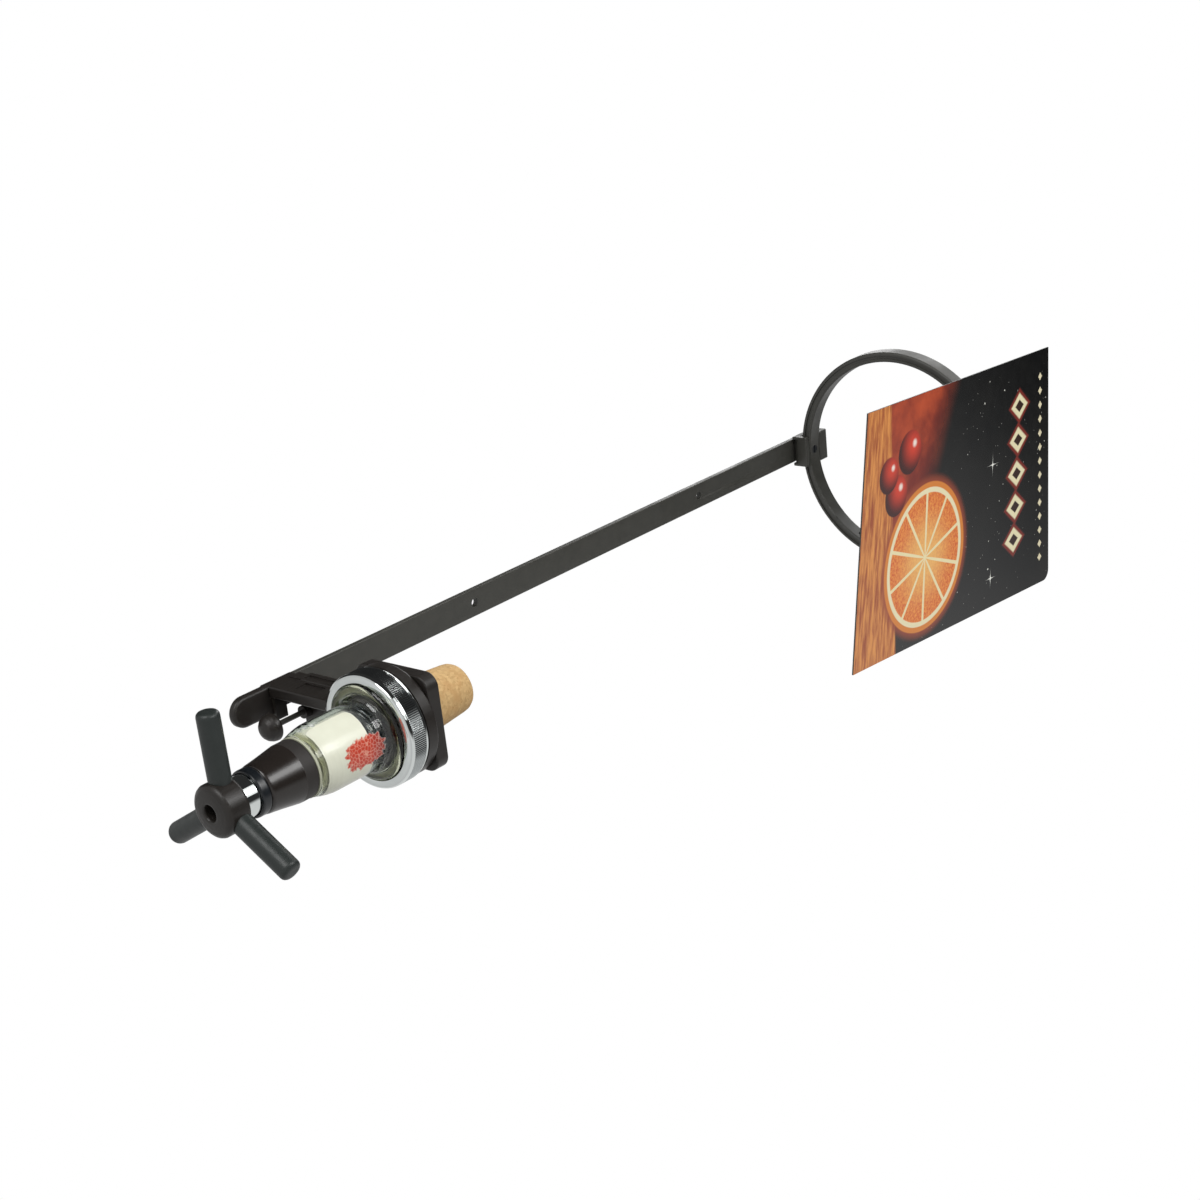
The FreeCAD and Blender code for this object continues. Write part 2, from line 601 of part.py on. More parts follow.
def star_hub():
    hub = spin([
        (SPOUT_RADIUS, HUB_RIM_Z - HUB_DOME + 0.2),
        (5.0, HUB_RIM_Z - HUB_DOME * 0.55),
        (HUB_RADIUS, HUB_RIM_Z),
        (HUB_RADIUS, HUB_TOP_Z),
        (TUBE_RADIUS + FIT, HUB_TOP_Z),
        (TUBE_RADIUS + FIT, HUB_FLOOR_Z),
        (SPOUT_RADIUS, HUB_FLOOR_Z),
    ])
    hub = hub.makeFillet(1.2, circles_at(hub, HUB_RADIUS, HUB_RIM_Z))
    return hub.cut([arm_pin(angle, FIT) for angle in ARM_ANGLES])


def star_arm(angle):
    """Round handle arm with a pin that holds it in the hub and the spout tube."""
    rod = Part.makeCylinder(ARM_RADIUS, ARM_REACH - 4, vec(4, 0, ARM_AXIS_Z), vec(1, 0, 0))
    rims = [e for e in rod.Edges if isinstance(e.Curve, Part.Circle)]
    tip = max(rims, key=lambda e: e.Curve.Center.x)
    rod = rod.makeFillet(ARM_END_RADIUS, [tip])
    rod = rod.cut(disc_z(HUB_RADIUS + 0.01, ARM_AXIS_Z - 6, ARM_AXIS_Z + 6))
    return around_z(rod, angle).fuse(arm_pin(angle, 0)).removeSplitter()


def stem():
    """Rod through both valves, with three fins that hold it in the spout tube."""
    rod = disc_z(STEM_RADIUS, STEM_BOTTOM_Z, STEM_TOP_Z)
    inlet_collar_top = inlet_seal_bottom()
    rod = rod.fuse(disc_z(COLLAR_RADIUS, inlet_collar_top - COLLAR_THICKNESS, inlet_collar_top))
    outlet_collar_bottom = outlet_seal_bottom() + SEAL_THICKNESS
    rod = rod.fuse(disc_z(COLLAR_RADIUS, outlet_collar_bottom, outlet_collar_bottom + COLLAR_THICKNESS))
    fin = box((0, TUBE_BORE_RADIUS - FIT), (-0.5, 0.5), (STEM_BOTTOM_Z, STEM_BOTTOM_Z + 4.5))
    for index in range(3):
        rod = rod.fuse(around_z(fin, 120.0 * index))
    return rod.removeSplitter()


def inlet_seal_bottom():
    return CAGE_SEAT_Z - VALVE_GAP - PUSH_TRAVEL - SEAL_THICKNESS


def outlet_seal_bottom():
    return NOZZLE_TOP_Z - 3.0 + VALVE_GAP


def valve_seal(bottom):
    seal = tube_z(SEAL_RADIUS, STEM_RADIUS + 0.02, bottom, bottom + SEAL_THICKNESS)
    return seal.makeFillet(0.4, circles_at(seal, SEAL_RADIUS, bottom))


def spring_washer():
    return tube_z(6.3, TUBE_BORE_RADIUS, TUBE_TOP_Z, TUBE_TOP_Z + 0.7)


def return_spring():
    """Open coil between the nozzle web and the washer on the spout tube."""
    bottom = TUBE_TOP_Z + 0.7 + SPRING_WIRE_RADIUS
    height = NOZZLE_WEB_BOTTOM_Z - SPRING_WIRE_RADIUS - bottom
    helix = Part.makeHelix(height / SPRING_TURNS, height, SPRING_MEAN_RADIUS)
    helix.translate(vec(0, 0, bottom))
    circle = Part.Circle(vec(SPRING_MEAN_RADIUS, 0, bottom), vec(0, 1, 0), SPRING_WIRE_RADIUS)
    section = Part.Wire([circle.toShape()])
    return Part.Wire(helix.Edges).makePipeShell([section], True, True)


# ---------------------------------------------------------------- sign

def sign_corner(across, up, push):
    """Sign corner in place; across and up are -1 or +1, push moves it towards +Y."""
    lean = math.radians(SIGN_LEAN)
    turn = math.radians(SIGN_TURN)
    right = vec(math.cos(lean) * math.cos(turn), math.cos(lean) * math.sin(turn), -math.sin(lean))
    upward = vec(math.sin(lean), math.radians(SIGN_TILT), math.cos(lean))
    point = vec(*SIGN_CENTRE)
    point = point.add(right.multiply(across * SIGN_WIDTH / 2))
    point = point.add(upward.multiply(up * SIGN_HEIGHT / 2))
    twist = SIGN_TWIST * across * up
    return point.add(vec(0, push - twist, 0))


def sign_sheet(front, back):
    """Twisted sheet of the sign between two offsets along Y from its mid surface."""
    lower_left = sign_corner(-1, -1, front)
    lower_right = sign_corner(1, -1, front)
    upper_left = sign_corner(-1, 1, front)
    upper_right = sign_corner(1, 1, front)
    low = Part.makeLine(lower_left, lower_right)
    high = Part.makeLine(upper_left, upper_right)
    return Part.makeRuledSurface(low, high).extrude(vec(0, back - front, 0))


def sign_panel():
    half = SIGN_THICKNESS / 2
    panel = sign_sheet(-half, half)
    upper_right = sign_corner(1, 1, 0)
    corner = [e for e in edges_along(panel, "y") if corner_of(e, upper_right, 3.0)]
    return panel.makeFillet(SIGN_CORNER_RADIUS, corner)


def clip_outer_y():
    return -HOOP_OUTER_RADIUS - CLIP_GAP


def sign_clip():
    """Snap clip: a channel over the front of the hoop, with lips that run in its grooves."""
    width = (-CLIP_HALF_WIDTH, CLIP_HALF_WIDTH)
    low = HOOP_BOTTOM_Z - CLIP_GAP
    high = HOOP_BOTTOM_Z + HOOP_HEIGHT + CLIP_GAP
    back = clip_outer_y()
    plate = box(width, (back - CLIP_SHEET, back), (low - CLIP_SHEET, high + CLIP_SHEET))
    lower = box(width, (back - CLIP_SHEET, CLIP_INNER_Y), (low - CLIP_SHEET, low))
    upper = box(width, (back - CLIP_SHEET, CLIP_INNER_Y), (high, high + CLIP_SHEET))
    clip = plate.fuse([lower, upper])
    front_half = box(width, (-HOOP_OUTER_RADIUS, 0), (low - 5, high + 5))
    lower_lip = hoop_ring(CLIP_LIP_WIDTH, low - CLIP_SHEET / 2, low + CLIP_LIP_DEPTH)
    upper_lip = hoop_ring(CLIP_LIP_WIDTH, high - CLIP_LIP_DEPTH, high + CLIP_SHEET / 2)
    clip = clip.fuse([lower_lip.common(front_half), upper_lip.common(front_half)]).removeSplitter()
    outer_z = (low - CLIP_SHEET, high + CLIP_SHEET)
    outer = []
    for edge in edges_along(clip, "x"):
        if min(abs(edge.Vertexes[0].Point.z - z) for z in outer_z) < 0.01:
            outer.append(edge)
    return clip.makeFillet(0.4, outer)


def sign_pad():
    """Adhesive pad between the clip and the back of the sign."""
    front = clip_outer_y() - CLIP_SHEET
    pad = box((-CLIP_HALF_WIDTH, CLIP_HALF_WIDTH), (front - 6, front), (HOOP_MIDDLE_Z - 5, HOOP_MIDDLE_Z + 5))
    return pad.cut(sign_sheet(-12.0, SIGN_THICKNESS / 2 + 0.02))


# ---------------------------------------------------------------- all nodes

def all_nodes():
    nodes = {
        "wall_bar": wall_bar(),
        "hoop": hoop(),
        "hoop_block": hoop_block(),
        "hoop_screw": hoop_screw(),
        "bracket": bracket(),
        "clamp_screw": clamp_screw(),
        "clamp_knob": clamp_knob(),
        "holder_plate": holder_plate(),
        "cork": cork(),
        "neck_tube": neck_tube(),
        "valve_head": valve_head(),
        "union_nut": union_nut(),
        "chamber_gasket": chamber_gasket(),
        "measuring_glass": measuring_glass(),
        "label_sleeve": label_sleeve(),
        "valve_cage": valve_cage(),
        "tie_tube": tie_tube(),
        "glass_gasket": glass_gasket(),
        "nozzle": nozzle(),
        "wiper_ring": wiper_ring(),
        "spout_tube": spout_tube(),
        "star_hub": star_hub(),
        "stem": stem(),
        "inlet_seal": valve_seal(inlet_seal_bottom()),
        "outlet_seal": valve_seal(outlet_seal_bottom()),
        "spring_washer": spring_washer(),
        "return_spring": return_spring(),
        "sign_panel": sign_panel(),
        "sign_clip": sign_clip(),
        "sign_pad": sign_pad(),
    }
    for index, angle in enumerate(ARM_ANGLES):
        nodes[f"star_arm_{index + 1}"] = star_arm(angle)
    return nodes


os.makedirs("parts", exist_ok=True)
for name, shape in all_nodes().items():
    if not shape.isValid() or shape.Volume <= 0:
        raise ValueError(name + " is not a valid solid")
    print(name, len(shape.Solids), round(shape.Volume, 1))
    shape.exportStep(f"parts/{name}.step")
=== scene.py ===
import json
import math

import bmesh
import bpy
from mathutils import Matrix, Vector


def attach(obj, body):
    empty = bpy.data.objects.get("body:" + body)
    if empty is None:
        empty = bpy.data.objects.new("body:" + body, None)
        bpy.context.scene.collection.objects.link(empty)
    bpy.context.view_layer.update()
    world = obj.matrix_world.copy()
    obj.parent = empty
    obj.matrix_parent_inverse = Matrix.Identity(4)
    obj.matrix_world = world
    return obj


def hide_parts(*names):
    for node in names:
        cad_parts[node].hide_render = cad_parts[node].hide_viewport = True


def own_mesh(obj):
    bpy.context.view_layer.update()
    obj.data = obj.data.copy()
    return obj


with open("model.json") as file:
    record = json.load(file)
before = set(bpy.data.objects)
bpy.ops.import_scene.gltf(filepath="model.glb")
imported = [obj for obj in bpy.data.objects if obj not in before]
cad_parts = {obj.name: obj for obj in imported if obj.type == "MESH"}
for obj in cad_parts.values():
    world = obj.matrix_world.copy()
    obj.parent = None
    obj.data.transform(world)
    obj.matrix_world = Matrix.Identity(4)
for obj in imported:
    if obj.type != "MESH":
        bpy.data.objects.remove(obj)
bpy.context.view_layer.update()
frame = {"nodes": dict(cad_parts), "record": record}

# A wall-mounted optic dispenser.  Everything is in metres; profiles are written in
# millimetres and scaled by MM.  +Z runs up the rail, -Y faces the room, +Y the wall.

MM = 0.001
FULL_TURN = 2 * math.pi
LATHE_STEPS = 96
SMOOTH_BELOW = math.radians(34)

# The camera stands in front of, below and left of the dispenser, rolled on its side.
CAMERA_PLACE = Vector((-0.22415, -0.41026, -0.36815))
CAMERA_FORWARD = Vector((0.334223, 0.623608, 0.706695))
CAMERA_RIGHT = Vector((0.103264, -0.769528, 0.630213))
CAMERA_LENS = 56.41
SENSOR_WIDTH = 36.0

# Reflections find the room bright on the table's side and dark on the other.
BRIGHT_SIDE = (0.94, 0.08, -0.33)
BRIGHT_REFLECTION = 0.75
DIM_REFLECTION = 0.03
AMBIENT_LEVEL = 0.44

FLOOR_HEIGHT = -1.2
FLOOR_SIZE = 12.0

STAR_ANGLES = (180.0, 300.0, 60.0)
ARM_HEIGHT = -74.4
CLAMP_AXIS = (4.2, 40.0)

NUT_RADIUS = 19.0
KNURL_LINES = 180
KNURL_DEPTH = 0.13
KNURL_BOTTOM = -15.9
KNURL_TOP = -10.8

# The label lies round the front of the glass: centres are (azimuth in degrees, height).
# Its half size reaches to the centres of its rounded corners.
GLASS_RADIUS = 11.4
LABEL_CENTRE = (-85.0, -35.2)
LABEL_HALF_SIZE = (14.3, 6.3)
LABEL_CORNER = 2.5
PRINT_CENTRE = (-92.0, -28.9)
PRINT_HALF_SIZE = (5.1, 8.1)

SIGN_WIDTH = 100.5
SIGN_HEIGHT = 151.0
SIGN_THICKNESS = 0.6
SIGN_CENTRE = (3.55, -50.4, 260.75)
SIGN_LEAN = 4.1
SIGN_TURN = 2.2
SIGN_TILT = 0.4
SIGN_TWIST = 2.4
SIGN_CORNER_RADIUS = 4.5
SIGN_SLICES = 12
BARE_BOARD_UV = (-0.5, 0.5)


# ---------------------------------------------------------------- finishes

class Graph:
    """A node tree with short ways to do sums in it."""

    def __init__(self, tree):
        self.nodes = tree.nodes
        self.links = tree.links

    def put(self, socket, value):
        """Links a socket, or sets a plain value on it."""
        if isinstance(value, bpy.types.NodeSocket):
            self.links.new(value, socket)
        else:
            socket.default_value = value

    def calc(self, kind, first, second=0.0, third=0.0):
        """One step of arithmetic."""
        node = self.nodes.new("ShaderNodeMath")
        node.operation = kind
        for socket, value in zip(node.inputs, (first, second, third)):
            self.put(socket, value)
        return node.outputs[0]

    def reach_of(self, first, second):
        """Length of the line whose two components are given."""
        return self.calc("SQRT", self.calc("ADD", self.calc("MULTIPLY", first, first),
                                           self.calc("MULTIPLY", second, second)))

    def remap(self, value, low, high, to_low=0.0, to_high=1.0):
        """Smooth step from one range to another, held at both ends."""
        node = self.nodes.new("ShaderNodeMapRange")
        node.interpolation_type = "SMOOTHSTEP"
        self.put(node.inputs["Value"], value)
        node.inputs["From Min"].default_value = low
        node.inputs["From Max"].default_value = high
        node.inputs["To Min"].default_value = to_low
        node.inputs["To Max"].default_value = to_high
        return node.outputs["Result"]


class Finish(Graph):
    """A Principled material with short ways to build the pattern on it."""

    def __init__(self, name, roughness, metallic=0.0):
        self.material = bpy.data.materials.new(name)
        self.material.use_nodes = True
        super().__init__(self.material.node_tree)
        self.shader = self.nodes["Principled BSDF"]
        self.shader.inputs["Roughness"].default_value = roughness
        self.shader.inputs["Metallic"].default_value = metallic
        self.place = self.nodes.new("ShaderNodeTexCoord").outputs["Object"]

    def set(self, **values):
        """Sets inputs of the shader by name."""
        for name, value in values.items():
            self.put(self.shader.inputs[name.replace("_", " ")], value)

    def stretch(self, scale, place=None):
        """Coordinates scaled by a factor along each axis."""
        node = self.nodes.new("ShaderNodeMapping")
        node.inputs["Scale"].default_value = scale
        self.put(node.inputs["Vector"], place or self.place)
        return node.outputs[0]

    def noise(self, scale, detail=3.0, roughness=0.5, place=None, distortion=0.0):
        """Cloudy pattern from 0 to 1."""
        node = self.nodes.new("ShaderNodeTexNoise")
        self.put(node.inputs["Vector"], place or self.place)
        node.inputs["Scale"].default_value = scale
        node.inputs["Detail"].default_value = detail
        node.inputs["Roughness"].default_value = roughness
        node.inputs["Distortion"].default_value = distortion
        return node.outputs["Fac"]

    def cells(self, scale, feature="F1", output="Distance", place=None):
        """Cell pattern: distance to a seed or an edge, or the cell's colour."""
        node = self.nodes.new("ShaderNodeTexVoronoi")
        node.feature = feature
        self.put(node.inputs["Vector"], place or self.place)
        node.inputs["Scale"].default_value = scale
        return node.outputs[output]

    def mix(self, share, first, second):
        """Blend of two colours, each a socket or an sRGB triple."""
        node = self.nodes.new("ShaderNodeMix")
        node.data_type = "RGBA"
        self.put(node.inputs["Factor"], share)
        for socket, value in ((node.inputs[6], first), (node.inputs[7], second)):
            self.put(socket, colour(value) if isinstance(value, tuple) else value)
        return node.outputs[2]

    def bump(self, height, distance, strength=1.0):
        """Fine relief on the surface."""
        node = self.nodes.new("ShaderNodeBump")
        self.put(node.inputs["Height"], height)
        node.inputs["Distance"].default_value = distance
        node.inputs["Strength"].default_value = strength
        self.links.new(node.outputs["Normal"], self.shader.inputs["Normal"])

    def radius(self):
        """Distance from the upright axis."""
        x, y = self.parts(self.place)[:2]
        return self.reach_of(x, y)

    def parts(self, vector):
        """The three components of a vector or a colour."""
        node = self.nodes.new("ShaderNodeSeparateXYZ")
        self.links.new(vector, node.inputs[0])
        return node.outputs


def colour(values):
    """sRGB 0-255 to linear with alpha."""
    linear = []
    for value in values[:3]:
        level = value / 255
        linear.append(level / 12.92 if level <= 0.04045 else ((level + 0.055) / 1.055) ** 2.4)
    return (*linear, 1.0)


def rail_paint():
    """Satin dark paint on steel: slight orange peel, faint mottling, duller patches."""
    paint = Finish("rail_paint", 0.42)
    mottle = paint.noise(260.0, 4.0)
    paint.set(Base_Color=paint.mix(mottle, (53, 53, 49), (66, 65, 60)))
    paint.set(Roughness=paint.remap(paint.noise(90.0, 3.0), 0.3, 0.7, 0.36, 0.5))
    paint.bump(paint.noise(2600.0, 2.0), 0.00003, 0.07)
    return paint.material


def black_plastic():
    """Satin warm black moulding with very faint scuffs."""
    plastic = Finish("black_plastic", 0.4)
    scuffs = plastic.noise(700.0, 5.0, 0.65, plastic.stretch((1.0, 1.0, 0.12)))
    plastic.set(Base_Color=plastic.mix(plastic.noise(150.0), (29, 26, 23), (38, 34, 31)))
    plastic.set(Roughness=plastic.remap(scuffs, 0.35, 0.75, 0.34, 0.48))
    plastic.set(Specular_IOR_Level=0.4)
    plastic.bump(plastic.noise(1800.0, 2.0), 0.00003, 0.2)
    return plastic.material


def nozzle_plastic():
    """Brownish black cone: dull along the band at its top, polished below the crease."""
    plastic = Finish("nozzle_plastic", 0.25)
    height = plastic.parts(plastic.place)[2]
    grain = plastic.calc("MULTIPLY", plastic.noise(900.0, 4.0), 0.08)
    dullness = plastic.remap(height, -0.0512, -0.0508, 0.18, 0.56)
    plastic.set(Base_Color=plastic.mix(plastic.noise(200.0), (29, 25, 22), (38, 33, 30)))
    plastic.set(Roughness=plastic.calc("ADD", dullness, grain))
    plastic.bump(plastic.noise(2400.0, 2.0), 0.00002, 0.15)
    return plastic.material


def cage_plastic():
    """Polished blue-black dome of the upper valve."""
    plastic = Finish("cage_plastic", 0.14)
    plastic.set(Base_Color=plastic.mix(plastic.noise(220.0), (14, 19, 25), (24, 31, 38)))
    plastic.set(Roughness=plastic.remap(plastic.noise(500.0), 0.3, 0.7, 0.1, 0.18))
    return plastic.material


def handle_plastic():
    """Satin greenish charcoal of the star's arms."""
    plastic = Finish("handle_plastic", 0.42)
    plastic.set(Base_Color=plastic.mix(plastic.noise(240.0), (32, 37, 36), (41, 46, 44)))
    plastic.set(Roughness=plastic.remap(plastic.noise(500.0, 4.0), 0.3, 0.7, 0.38, 0.46))
    plastic.set(Specular_IOR_Level=0.4)
    plastic.bump(plastic.noise(3200.0, 2.0), 0.00002, 0.12)
    return plastic.material


def chrome():
    """Bright plating; the knurled band of the nut is duller and painted darker as painted shade, darkest in
    its valleys.
    """
    plating = Finish("chrome", 0.05, 1.0)
    height = plating.parts(plating.place)[2]
    radius = plating.radius()
    above = plating.remap(height, (KNURL_BOTTOM - 0.05) * MM, (KNURL_BOTTOM + 0.05) * MM)
    below = plating.remap(height, (KNURL_TOP - 0.05) * MM, (KNURL_TOP + 0.05) * MM, 1.0, 0.0)
    outside = plating.calc("GREATER_THAN", radius, (NUT_RADIUS - 0.6) * MM)
    band = plating.calc("MULTIPLY", plating.calc("MULTIPLY", above, below), outside)
    # Painted shade: the knurled band is tinted darker, most at the bottom of its pressed-in lines.
    painted_knurl_shade = plating.remap(radius, (NUT_RADIUS - KNURL_DEPTH) * MM, (NUT_RADIUS - 0.01) * MM, 0.8, 0.2)
    unshaded_plating = plating.mix(plating.noise(300.0), (214, 219, 218), (228, 232, 230))
    plating.set(Base_Color=plating.mix(plating.calc("MULTIPLY", band, painted_knurl_shade), unshaded_plating, (92, 98, 102)))
    streaks = plating.noise(900.0, 4.0, 0.6, plating.stretch((1.0, 1.0, 0.2)))
    polish = plating.remap(streaks, 0.3, 0.8, 0.03, 0.08)
    plating.set(Roughness=plating.calc("MULTIPLY_ADD", band, 0.08, polish))
    return plating.material


def clear_glass():
    """Clear pressed glass with a printed label round its front; painted shade tints it grey-green where seen
    edge on and on its foot.
    """
    glass = Finish("clear_glass", 0.0)
    edge = glass.nodes.new("ShaderNodeLayerWeight")
    edge.inputs["Blend"].default_value = 0.35
    clear = glass.mix(glass.noise(60.0), (244, 247, 241), (250, 252, 248))
    clear = glass.mix(glass.remap(glass.radius(), 0.0122, 0.0140), clear, (214, 216, 192))
    # Painted shade: the foot is tinted grey-olive for the dark internal reflections seen in it.
    foot = glass.remap(glass.parts(glass.place)[2], -0.0438, -0.0428, 1.0, 0.0)
    clear = glass.mix(foot, clear, (206, 209, 188))
    # Painted shade: grey-green where the glass is seen edge on, for the dark surroundings seen through its
    # edges.
    clear = glass.mix(glass.remap(edge.outputs["Facing"], 0.28, 0.52), clear, (120, 132, 116))
    paper, ink, red = label_art(glass)
    cream = glass.mix(glass.noise(300.0, 4.0), (214, 215, 196), (222, 223, 205))
    glass.set(Base_Color=glass.mix(ink, glass.mix(paper, clear, cream), red))
    cover = glass.calc("MAXIMUM", glass.calc("MULTIPLY", paper, 0.96), ink)
    glass.set(Transmission_Weight=glass.calc("SUBTRACT", 1.0, cover))
    glass.set(Roughness=glass.calc("MULTIPLY", cover, 0.2))
    glass.set(IOR=1.45)
    return glass.material


def label_art(glass):
    """Masks of the cream label and of its red mosaic, and the mosaic's colour, darkened towards its top as
    painted shade.
    """
    x, y, z = glass.parts(glass.place)[:3]
    azimuth = glass.calc("ARCTAN2", y, x)
    outside = glass.calc("GREATER_THAN", glass.radius(), (GLASS_RADIUS - 1.0) * MM)

    def offsets(turned, height):
        """Millimetres round the glass and up it from a point."""
        angle = glass.calc("SUBTRACT", azimuth, math.radians(turned))
        return glass.calc("MULTIPLY", angle, GLASS_RADIUS), glass.calc("MULTIPLY_ADD", z, 1 / MM, -height)

    def beyond(distance, limit):
        """How far a distance passes a limit, to either side."""
        return glass.calc("MAXIMUM", glass.calc("SUBTRACT", glass.calc("ABSOLUTE", distance), limit), 0.0)

    around, above = offsets(*LABEL_CENTRE)
    reach = glass.reach_of(beyond(around, LABEL_HALF_SIZE[0]), beyond(above, LABEL_HALF_SIZE[1]))
    shape = glass.remap(reach, LABEL_CORNER, LABEL_CORNER + 0.2, 1.0, 0.0)
    paper = glass.calc("MULTIPLY", shape, outside)

    around, above = offsets(*PRINT_CENTRE)
    around = glass.calc("DIVIDE", around, PRINT_HALF_SIZE[0])
    above = glass.calc("DIVIDE", above, PRINT_HALF_SIZE[1])
    square = glass.calc("ADD", glass.calc("POWER", glass.calc("ABSOLUTE", around), 3.0),
                        glass.calc("POWER", glass.calc("ABSOLUTE", above), 3.0))
    scallops = glass.calc("COSINE", glass.calc("MULTIPLY", glass.calc("ARCTAN2", above, around), 12.0))
    ragged = glass.calc("MULTIPLY_ADD", scallops, 0.12, square)
    ragged = glass.calc("MULTIPLY_ADD", glass.noise(900.0, 2.0), 1.6, ragged)
    inside = glass.calc("MULTIPLY", glass.remap(ragged, 1.45, 1.75, 1.0, 0.0), outside)
    strokes = glass.remap(glass.cells(850.0, "DISTANCE_TO_EDGE"), 0.0, 0.1)
    ink = glass.calc("MULTIPLY", inside, glass.calc("MULTIPLY_ADD", strokes, 0.2, 0.78))
    # Painted shade: the red turns darker towards the top of the print, where it lies over the dark dome
    # under the nut.
    red = glass.mix(glass.remap(z, -0.0275, -0.0225), (190, 56, 38), (152, 44, 32))
    return paper, ink, glass.mix(strokes, (222, 130, 106), red)


def soft_seal():
    """Pale olive sealing rubber."""
    seal = Finish("soft_seal", 0.5)
    seal.set(Base_Color=seal.mix(seal.noise(500.0), (158, 160, 138), (176, 178, 156)))
    return seal.material


def rubber():
    """Blue-black rubber with a faint grain."""
    compound = Finish("rubber", 0.3)
    compound.set(Base_Color=compound.mix(compound.noise(400.0), (12, 15, 19), (22, 27, 32)))
    compound.bump(compound.noise(3000.0, 2.0), 0.00003, 0.3)
    return compound.material


def spring_steel():
    """Drawn steel, streaked along its height."""
    steel = Finish("spring_steel", 0.3, 1.0)
    grain = steel.noise(1500.0, 3.0, 0.5, steel.stretch((1.0, 1.0, 0.1)))
    steel.set(Base_Color=steel.mix(grain, (130, 130, 128), (170, 170, 168)))
    return steel.material


def cork_grain():
    """Pressed cork: tan granules of close tones, a few dark specks and small pits."""
    cork = Finish("cork", 0.8)
    tone = cork.parts(cork.cells(1250.0, output="Color"))[0]
    base = cork.mix(tone, (176, 142, 92), (200, 166, 114))
    base = cork.mix(cork.remap(cork.noise(300.0, 4.0), 0.42, 0.68, 0.0, 0.7), base, (182, 142, 90))
    specks = cork.remap(cork.cells(900.0), 0.12, 0.26, 1.0, 0.0)
    chosen = cork.remap(cork.parts(cork.cells(900.0, output="Color"))[1], 0.7, 0.8, 0.0, 0.7)
    dark = cork.calc("MULTIPLY", specks, chosen)
    cork.set(Base_Color=cork.mix(dark, base, (150, 108, 64)))
    pits = cork.calc("SUBTRACT", cork.cells(1250.0), dark)
    cork.bump(pits, 0.0001, 0.4)
    return cork.material


def sleeve_paper():
    """Cream sleeve, faintly mottled."""
    paper = Finish("sleeve_paper", 0.38)
    paper.set(Base_Color=paper.mix(paper.noise(300.0, 4.0), (236, 234, 218), (243, 241, 228)))
    paper.set(Roughness=paper.remap(paper.noise(700.0), 0.3, 0.7, 0.34, 0.46))
    paper.bump(paper.noise(2500.0, 2.0), 0.00002, 0.2)
    return paper.material


class Print(Finish):
    """Printed art in millimetres, measured from the lower left corner of the sign."""

    def __init__(self, name, roughness):
        super().__init__(name, roughness)
        uv = self.nodes.new("ShaderNodeUVMap").outputs[0]
        self.spot = self.stretch((SIGN_WIDTH, SIGN_HEIGHT, 1.0), place=uv)
        self.across, self.up = self.parts(self.spot)[:2]

    def blur(self, scale, detail=3.0):
        """Cloudy pattern in the sign's millimetres."""
        return self.noise(scale, detail, 0.55, self.spot)

    def from_point(self, across, up):
        """Distances to the right of and above a point."""
        return self.calc("SUBTRACT", self.across, across), self.calc("SUBTRACT", self.up, up)

    def reach(self, across, up):
        """Distance from a point."""
        return self.reach_of(*self.from_point(across, up))

    def disc(self, across, up, radius, soft=0.3):
        """1 inside a circle."""
        return self.remap(self.reach(across, up), radius - soft, radius + soft, 1.0, 0.0)

    def lozenge(self, across, up, half_width, half_height, soft=0.1):
        """1 inside a diamond."""
        right, above = self.from_point(across, up)
        wide = self.calc("DIVIDE", self.calc("ABSOLUTE", right), half_width)
        tall = self.calc("DIVIDE", self.calc("ABSOLUTE", above), half_height)
        return self.remap(self.calc("ADD", wide, tall), 1.0 - soft, 1.0 + soft, 1.0, 0.0)

    def sparkle(self, across, up, size):
        """Four-pointed star: bright where the product of the distances is small."""
        right, above = self.from_point(across, up)
        cross = self.calc("MULTIPLY", self.calc("ABSOLUTE", right), self.calc("ABSOLUTE", above))
        points = self.remap(cross, 0.02, 0.35, 1.0, 0.0)
        return self.calc("MULTIPLY", points, self.disc(across, up, size * 0.6, size * 0.4))


def sign_print():
    """Generic design: starry night over warm wood, with a citrus slice and red berries."""
    art = Print("sign_print", 0.16)
    night = art.mix(art.remap(art.blur(0.03), 0.3, 0.7), (9, 10, 11), (18, 18, 17))
    glow = art.mix(art.remap(art.blur(0.035, 4.0), 0.35, 0.65), (116, 34, 22), (186, 76, 40))
    warm_edge = art.calc("ADD", art.up, art.calc("MULTIPLY", art.across, 0.45))
    picture = art.mix(art.remap(warm_edge, 52.0, 74.0, 1.0, 0.0), night, glow)
    grain = art.noise(0.5, 4.0, 0.6, art.stretch((0.12, 1.0, 1.0), place=art.spot))
    wood = art.mix(art.remap(grain, 0.3, 0.7), (150, 66, 30), (226, 150, 74))
    table_edge = art.calc("MULTIPLY_ADD", art.across, 0.12, 17.0)
    on_table = art.remap(art.calc("SUBTRACT", table_edge, art.up), -0.6, 0.6)
    picture = art.mix(on_table, picture, wood)

    sky = art.remap(warm_edge, 74.0, 90.0)
    for scale, size, level in ((0.1, 0.05, 0.9), (0.16, 0.06, 0.6), (0.3, 0.075, 0.4)):
        stars = art.remap(art.cells(scale, place=art.spot), size * 0.6, size, level, 0.0)
        picture = art.mix(art.calc("MULTIPLY", stars, sky), picture, (226, 226, 216))
    for across, up, size in ((40.0, 101.0, 6.0), (88.0, 101.0, 5.0)):
        picture = art.mix(art.sparkle(across, up, size), picture, (240, 240, 232))

    picture = citrus_slice(art, picture, 66.0, 48.0, 30.0)
    for across, up, radius in ((21.0, 33.0, 8.5), (36.0, 24.0, 8.0), (27.0, 18.0, 7.0)):
        picture = berry(art, picture, across, up, radius)
    picture = garland(art, picture)
    board = art.calc("LESS_THAN", art.across, 0.0)
    art.set(Base_Color=art.mix(board, picture, (58, 58, 56)))
    art.set(Roughness=art.calc("MULTIPLY_ADD", board, 0.4, art.remap(art.blur(0.2), 0.3, 0.7, 0.12, 0.2)))
    return art.material


